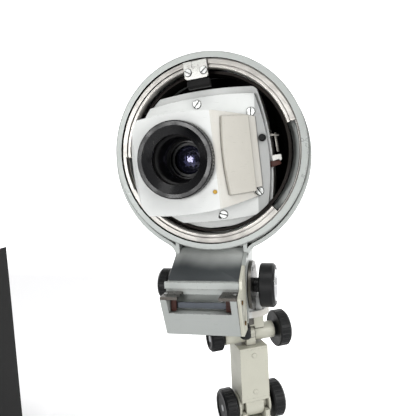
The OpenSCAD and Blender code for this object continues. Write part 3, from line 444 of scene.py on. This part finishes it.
for name, width in ROUNDS.items():
    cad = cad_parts[name]
    weld = cad.modifiers.new("weld", "WELD")
    weld.merge_threshold = WELD_REACH
    bevel = cad.modifiers.new("round", "BEVEL")
    bevel.width, bevel.segments = width * MM, 3
    bevel.limit_method, bevel.angle_limit = "ANGLE", math.radians(38)
    bevel.use_clamp_overlap = True
    bevel.miter_outer = "MITER_ARC"
    bevel.harden_normals = True


# ---- added pieces ----


def piece(name, verts, faces, look, body):
    """A mesh that rides on a CAD body and takes one of the looks above."""
    mesh = bpy.data.meshes.new(name)
    mesh.from_pydata([tuple(v) for v in verts], [], faces)
    mesh.validate()
    made = bpy.data.objects.new(name, mesh)
    bpy.context.collection.objects.link(made)
    work = bmesh.new()
    work.from_mesh(mesh)
    bmesh.ops.remove_doubles(work, verts=work.verts, dist=1e-6)
    bmesh.ops.recalc_face_normals(work, faces=work.faces)
    work.to_mesh(mesh)
    work.free()
    mesh.materials.append(LOOKS[look])
    mesh.shade_smooth()
    mesh.set_sharp_from_angle(angle=math.radians(32))
    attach(made, body)


def lathe(name, profile, centre, along, look, body, steps=96):
    """A closed body turned about the line through centre; profile holds (radius, distance along)."""
    along = Vector(along).normalized()
    side = along.orthogonal().normalized()
    other = along.cross(side)
    verts, faces = [], []
    n = len(profile)
    for k in range(steps):
        turn = 2 * math.pi * k / steps
        out = side * math.cos(turn) + other * math.sin(turn)
        verts += [Vector(centre) + out * (r * MM) + along * (d * MM) for r, d in profile]
    for k in range(steps):
        for i in range(n):
            a, b = k * n + i, k * n + (i + 1) % n
            c, d = ((k + 1) % steps) * n + (i + 1) % n, ((k + 1) % steps) * n + i
            faces.append((a, b, c, d))
    piece(name, verts, faces, look, body)


def slab(name, outline, thickness, place, look, body, bevel=0.25):
    """A flat piece: outline in the local XY plane in mm, thickness along local Z, rounded edges."""
    work = bmesh.new()
    low = [work.verts.new((x * MM, y * MM, 0)) for x, y in outline]
    face = work.faces.new(low)
    top = bmesh.ops.extrude_face_region(work, geom=[face])
    moved = [g for g in top["geom"] if isinstance(g, bmesh.types.BMVert)]
    bmesh.ops.translate(work, verts=moved, vec=(0, 0, thickness * MM))
    if bevel:
        bmesh.ops.bevel(work, geom=list(work.edges), offset=bevel * MM, segments=3, profile=0.5,
                        affect="EDGES", clamp_overlap=True)
    bmesh.ops.transform(work, matrix=place, verts=work.verts)
    verts = [v.co.copy() for v in work.verts]
    work.verts.index_update()
    faces = [[v.index for v in f.verts] for f in work.faces]
    work.free()
    piece(name, verts, faces, look, body)


def rounded_box(w, h, r):
    """Corners of a w by h rectangle with round corners, about its middle, in mm."""
    points, steps = [], 4
    for sx, sy, start in ((1, 1, 0), (-1, 1, 90), (-1, -1, 180), (1, -1, 270)):
        for k in range(steps + 1):
            a = math.radians(start + 90 * k / steps)
            points.append((sx * (w / 2 - r) + r * math.cos(a), sy * (h / 2 - r) + r * math.sin(a)))
    return points


def frame_at(origin, x_axis, z_axis):
    """A placing matrix with the given origin, its X along x_axis and its Z along z_axis."""
    z = Vector(z_axis).normalized()
    x = Vector(x_axis).normalized()
    x = (x - z * x.dot(z)).normalized()
    y = z.cross(x)
    return Matrix.Translation(Vector(origin)) @ Matrix((x, y, z)).transposed().to_4x4()


def head(x, y, z):
    """A point given in mm from the ring's centre."""
    return RING + Vector((x, y, z)) * MM


def ramp_sheet():
    """Dark polished sheet that lies on the casting's slope between the ring and the shoe block."""
    top, end = Vector((12, -86)), Vector((-23, -108.5))  # the slope's ends, as (Y, Z) from the ring
    run = end - top
    length = run.length - 1.5
    middle = (top + end) / 2
    down = Vector((0, run.x, run.y)).normalized()
    out = Vector((0, run.y, -run.x)).normalized()
    left, right = -35.2, (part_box("shoe_block")[1].x - RING.x) / MM - 0.3
    place = frame_at(head((left + right) / 2, middle.x, middle.y) + out * 0.1 * MM, (1, 0, 0), out)
    outline = rounded_box(right - left, length, 0.8)
    slab("ramp_sheet", outline, 0.5, place, "ramp", "bracket", 0.15)


def slot_pads():
    """Red-brown fibre pads at the two ends of the shoe slot."""
    bar_lo, bar_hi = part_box("clamp_bar")
    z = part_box("jaw_plates")[0].z - 6.5 * MM
    for side, x in (("left", bar_lo.x + 2.2 * MM), ("right", bar_hi.x - 2.2 * MM)):
        place = frame_at((x, bar_lo.y - 1.5 * MM, z), (1, 0, 0), (0, -1, 0))
        slab("slot_pad_" + side, rounded_box(4.6, 12.0, 1.0), 1.2, place, "fibre", "bracket")


def knob_index():
    """White line on the rim face of the right elbow knob."""
    axis = Vector((math.cos(ARM_YAW), math.sin(ARM_YAW), 0))
    face = middle_of("elbow_knob_right") + axis * 6.2 * MM
    up = Vector((0, 0, 1))
    front = axis.cross(up)
    out = (front * 0.9 + up * 0.25).normalized()
    slab("knob_index", rounded_box(7.0, 1.0, 0.3), 0.35, frame_at(face + out * 9 * MM, out, axis),
         "index", "elbow_clamp", 0.08)


def lens_inside():
    """Blackened threads in the lens well, the ring that holds the front glass, and the iris behind it."""
    lo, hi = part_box("front_glass")
    glass_front = (lo.y - RING.y) / MM
    centre = Vector((LENS.x, RING.y, LENS.z))
    start, stop = glass_front - 5.0, -26.0
    mouth, throat, ridges = 20.3, 17.2, 22
    profile = []
    for k in range(ridges):
        share = k / (ridges - 1)
        y = stop + (start - stop) * share
        r = mouth + (throat - mouth) * share
        profile += [(r, y), (r - 0.55, y + 0.35)]
    profile += [(throat + 0.5, start + 0.6), (mouth + 0.35, stop - 0.2)]
    lathe("well_threads", profile, centre, (0, 1, 0), "well", "lens", 120)
    retainer = [(12.6, glass_front - 0.6), (13.0, glass_front - 1.6), (15.2, glass_front - 1.6),
                (15.2, glass_front + 0.4), (13.2, glass_front + 0.8)]
    lathe("glass_retainer", retainer, centre, (0, 1, 0), "well", "lens")
    back = (hi.y - RING.y) / MM
    lathe("iris", [(6.0, back + 0.6), (11.6, back + 0.5), (11.6, back + 1.0), (6.0, back + 0.9)],
          centre, (0, 1, 0), "well", "lens")


def about_ring_axis(x, y, z, degrees):
    """A point in mm from the ring's centre, turned about the ring's axis as the CAD turns the piece."""
    a = math.radians(-degrees)
    return head(x * math.cos(a) + z * math.sin(a), y, -x * math.sin(a) + z * math.cos(a))


def screw_detail(kind, k, x, seat, z, r, t, slot_turn, turn, body):
    """Painted shade for one screw, a dark slab in its slot and a dark ring round its head: its place and
    seat, head radius and thickness in mm.
    """
    along = math.radians(slot_turn)
    y = seat - 0.45 * t
    middle = about_ring_axis(x, y, z, turn)
    tip = about_ring_axis(x + math.cos(along), y, z + math.sin(along), turn)
    # painted shade: a dark slab in the slot and a dark ring round the head
    slab("%s_slot_%d" % (kind, k), rounded_box(1.9 * r, 0.24 * r - 0.06, 0.1), 0.42 * t,
         frame_at(middle, tip - middle, (0, -1, 0)), "catch", body, 0)
    seam = [(r + 0.02, -0.02), (r + 0.5, -0.02), (r + 0.5, 0.10), (r + 0.02, 0.14)]
    lathe("%s_seam_%d" % (kind, k), seam, about_ring_axis(x, seat, z, turn), (0, -1, 0), "catch", body,
          48)


def screw_details():
    """Painted shade on the plate's and the latch's screws: a dark filling in each slot and a dark ring
    round each head.
    """
    plate_places = ((-6.5, 43.6), (40.3, 30.5), (40.3, -38.5), (6, -56))
    for k, (x, z) in enumerate(plate_places):
        screw_detail("plate", k + 1, x, 10.0, z, 3.5, 1.0, 47 + 38 * k, CAMERA_TURN, "camera")
    for k, side in enumerate((-1, 1)):
        screw_detail("latch", k + 1, side * 7, -1.5, 69.5, 3.0, 1.3, 35 * side, LATCH_TURN, "bracket")


def arc_sheet(name, inner, outer, front, depth, start, sweep, look):
    """An arc-shaped sheet about the ring's axis. Millimetres and degrees in the ring's own frame."""
    verts, faces, steps = [], [], 16
    for k in range(steps + 1):
        a = math.radians(start + sweep * k / steps)
        for r in (inner, outer):
            for y in (front, front + depth):
                verts.append(head(r * math.cos(a), y, r * math.sin(a)))
    for k in range(steps):
        a, b = 4 * k, 4 * k + 4
        faces += [(a, b, b + 2, a + 2), (a + 1, a + 3, b + 3, b + 1)]
        faces += [(a, a + 1, b + 1, b), (a + 2, b + 2, b + 3, a + 3)]
    faces += [(0, 2, 3, 1), (4 * steps, 4 * steps + 1, 4 * steps + 3, 4 * steps + 2)]
    piece(name, verts, faces, look, "bracket")


def blackened_gaps():
    """Black sheets of painted shade at the bottoms of the two cut-aways of the turned ring."""
    arc_sheet("gap_shade", 72.1, 75.4, 5.55, 0.4, 180.6, 21.8, "catch")
    wall = (ring_hi.x - ring_lo.x) / 2 / MM - 1.75
    # painted shade: a black sheet standing in for the dark open space behind the right cut-away
    arc_sheet("gap_wall", wall - 0.4, wall, 1.7, 26.0, -41.8, 58.6, "catch")


def ring_mechanism():
    """Small lever, red fibre block and white insulator seen in the dark gap beside the camera."""
    back = (0, -1, 0)
    slab("gap_lever", rounded_box(2.2, 17, 1.0), 1.6, frame_at(head(58.5, 19, 6), (1, 0, 0.12), back),
         "drilled", "camera", 0.3)
    slab("gap_lever_arm", rounded_box(9.0, 1.8, 0.8), 1.4,
         frame_at(head(56.5, 18.5, 12.5), (1, 0, -0.1), back), "drilled", "camera", 0.3)
    slab("gap_insulator", rounded_box(8.0, 5.4, 1.2), 5.0,
         frame_at(head(58.6, 19, -7.5), (1, 0, 0.1), back), "index", "camera", 0.5)
    slab("gap_fibre", rounded_box(9.4, 5.0, 1.0), 6.0, frame_at(head(57.0, 20, -12.0), (1, 0, 0.3), back),
         "fibre", "camera", 0.5)


def inlet_pins():
    """Insulator and five contacts in the lead's inlet at the back."""
    middle = middle_of("rear_socket")
    middle.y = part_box("rear_socket")[1].y
    insulator = [(0.2, -4.0), (4.5, -4.0), (4.5, -3.0), (4.1, -2.6), (0.2, -2.6)]
    lathe("inlet_insulator", insulator, middle, (0, 1, 0), "fibre", "bracket", 48)
    pin = [(0.05, -3.0), (0.45, -3.0), (0.45, -0.8), (0.3, -0.5), (0.05, -0.4)]
    for k in range(5):
        a = math.radians(-30 + 60 * k)
        place = middle + Vector((math.cos(a), 0, math.sin(a))) * 2.8 * MM
        lathe("inlet_pin_%d" % (k + 1), pin, place, (0, 1, 0), "brass", "bracket", 20)


def rivet_heads():
    """Domed heads of the arm's rivets on its two faces."""
    lo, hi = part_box("arm_rivets")
    front = Vector((math.sin(ARM_YAW), -math.cos(ARM_YAW), 0))
    dome = [(0.05, -0.3), (2.4, -0.3), (2.4, 0.15), (2.1, 0.55), (1.4, 0.85), (0.6, 0.98), (0.05, 1.0)]
    for level, z in (("low", lo.z + 1.5 * MM), ("high", hi.z - 1.5 * MM)):
        for side, out in (("front", front), ("back", -front)):
            place = Vector((0, 0, z)) + out * (ARM_HALF_WIDTH * MM)
            name = "rivet_head_%s_%s" % (level, side)
            lathe(name, dome, place, out, "cream", "arm", 32)


def leg_collars():
    """A turned collar with a groove near the top of each leg, and ribs on each rubber foot."""
    collar = [(6.05, 12), (8.0, 12), (8.6, 12.6), (8.6, 16), (8.0, 16.4), (8.0, 17.4), (8.6, 17.8),
              (8.6, 21), (8.0, 21.6), (6.05, 21.6)]
    for k, name in enumerate("abc"):
        angle = math.radians(LEG_FIRST + 120 * k)
        out = Vector((math.cos(angle), math.sin(angle), 0))
        hinge = (out * LEG_HINGE_OUT + Vector((0, 0, LEG_HINGE_UP))) * MM
        along = out * math.sin(LEG_SPREAD) - Vector((0, 0, math.cos(LEG_SPREAD)))
        lathe("leg_collar_" + name, collar, hinge, along, "steel", "leg_" + name, 64)
        for j in range(3):
            y = 139.5 + 2.6 * j
            rib = [(7.9, y), (8.6, y + 0.2), (8.8, y + 0.8), (8.6, y + 1.4), (7.9, y + 1.6)]
            lathe("foot_rib_%s_%d" % (name, j + 1), rib, hinge, along, "rubber", "leg_" + name, 64)


ramp_sheet()
slot_pads()
knob_index()
lens_inside()
screw_details()
blackened_gaps()
ring_mechanism()
inlet_pins()
rivet_heads()
leg_collars()


# ---- stage, light and camera ----


def stage_mesh(name, verts, faces):
    """A mesh for the stage, not attached to any of the object's bodies."""
    mesh = bpy.data.meshes.new(name)
    mesh.from_pydata(verts, [], faces)
    mesh.shade_smooth()
    made = bpy.data.objects.new(name, mesh)
    bpy.context.collection.objects.link(made)
    return mesh


def stage_floor():
    """A pale floor that runs up into a backdrop behind the object; it glows as painted light, dimmer to the
    left and towards the front.
    """
    reach, rise, bend = 3.0, 3.0, 0.8
    profile = [(-reach, 0.0), (reach - bend, 0.0)]
    profile += [(reach - bend + bend * math.sin(a), bend - bend * math.cos(a))
                for a in (math.radians(9 * k) for k in range(1, 11))]
    profile.append((reach, rise))
    verts = [(x, y, z + FLOOR_Z) for x in (-2 * reach, 2 * reach) for y, z in profile]
    n = len(profile)
    faces = [(k, k + 1, n + k + 1, n + k) for k in range(n - 1)]
    mesh = stage_mesh("floor", verts, faces)
    p = Paint("floor_paper")
    place = p.add("SeparateXYZ", {0: p.coords})
    # painted light: the floor glows, less to the left and towards the front
    far = p.ramp(place.outputs["Y"], 0.7, 1.5, 0.0, 1.02)
    glow = p.math("MULTIPLY", p.ramp(place.outputs["Y"], 0.06, 0.34, 0.1, 1.0),
                  p.math("MAXIMUM", far, p.ramp(place.outputs["X"], -0.7, 0.0, 0.3, 1.02)))
    p.set(Base_Color=rgb(225, 225, 226), Roughness=0.9, Emission_Color=(1, 1, 1, 1), Emission_Strength=glow)
    mesh.materials.append(p.material)


def soft_light(name, place, target, size, power):
    light = bpy.data.lights.new(name, "AREA")
    light.shape, light.size, light.size_y = "RECTANGLE", size[0], size[1]
    light.energy = power
    lamp = bpy.data.objects.new(name, light)
    bpy.context.collection.objects.link(lamp)
    lamp.location = place
    lamp.rotation_euler = (Vector(target) - Vector(place)).to_track_quat("-Z", "Y").to_euler()


def stage_card():
    """A dark card out of view on the left, low down, that keeps the light off the arm's left side."""
    x, low, high = -0.34, FLOOR_Z + 0.001, FLOOR_Z + 0.27
    corners = [(x, -0.5, low), (x, 0.1, low), (x, 0.1, high), (x, -0.5, high)]
    mesh = stage_mesh("card", corners, [(0, 1, 2, 3)])
    p = Paint("card_black")
    p.set(Base_Color=rgb(20, 20, 20), Roughness=0.9)
    mesh.materials.append(p.material)


def light_stage():
    """A square soft box in front, a lamp above, one at the right, and a room brightest up behind."""
    world = bpy.data.worlds.new("studio")
    bpy.context.scene.world = world
    world.use_nodes = True
    tree = world.node_tree
    sky = tree.nodes["Background"]
    way = tree.nodes.new("ShaderNodeTexCoord").outputs["Generated"]
    facing = tree.nodes.new("ShaderNodeVectorMath")
    facing.operation = "DOT_PRODUCT"
    facing.inputs[1].default_value = (0.40, 0.45, 0.80)
    tree.links.new(way, facing.inputs[0])
    shade = tree.nodes.new("ShaderNodeMapRange")
    shade.interpolation_type = "SMOOTHSTEP"
    shade.inputs["From Min"].default_value, shade.inputs["From Max"].default_value = -0.45, 0.75
    shade.inputs["To Min"].default_value, shade.inputs["To Max"].default_value = 0.10, 0.75
    tree.links.new(facing.outputs["Value"], shade.inputs["Value"])
    tree.links.new(shade.outputs["Result"], sky.inputs["Strength"])
    sky.inputs["Color"].default_value = (1.0, 1.0, 1.0, 1)
    soft_light("key", RING + Vector((-0.34, -1.25, 0.03)), RING, (0.36, 0.36), 6.0)
    soft_light("top", RING + Vector((0.15, -0.6, 1.2)), RING, (0.8, 0.6), 7.0)
    soft_light("side", RING + Vector((1.0, -0.55, 0.25)), RING, (0.35, 0.8), 5.0)
    bpy.context.scene.view_settings.view_transform = "Standard"


def place_camera():
    """The photograph's view: from the right of the lens and a little above, tipped by a small roll."""
    azimuth, elevation, roll = math.radians(14), math.radians(5.5), math.radians(3)
    distance = 0.391
    aim = RING + Vector((-0.0007, -0.0049, -0.0479))
    back = Vector((math.sin(azimuth) * math.cos(elevation), -math.cos(azimuth) * math.cos(elevation),
                   math.sin(elevation)))
    level = Vector((math.cos(azimuth), math.sin(azimuth), 0))
    up = back.cross(level)
    right = level * math.cos(roll) - up * math.sin(roll)
    top = level * math.sin(roll) + up * math.cos(roll)
    data = bpy.data.cameras.new("photo_view")
    data.sensor_width, data.lens = 36, 38.94
    camera = bpy.data.objects.new("photo_view", data)
    bpy.context.collection.objects.link(camera)
    turn = Matrix((right, top, back)).transposed().to_4x4()
    camera.matrix_world = Matrix.Translation(aim + back * distance) @ turn
    data.clip_start, data.clip_end = 0.01, 50
    bpy.context.scene.camera = camera


stage_floor()
stage_card()
light_stage()
place_camera()
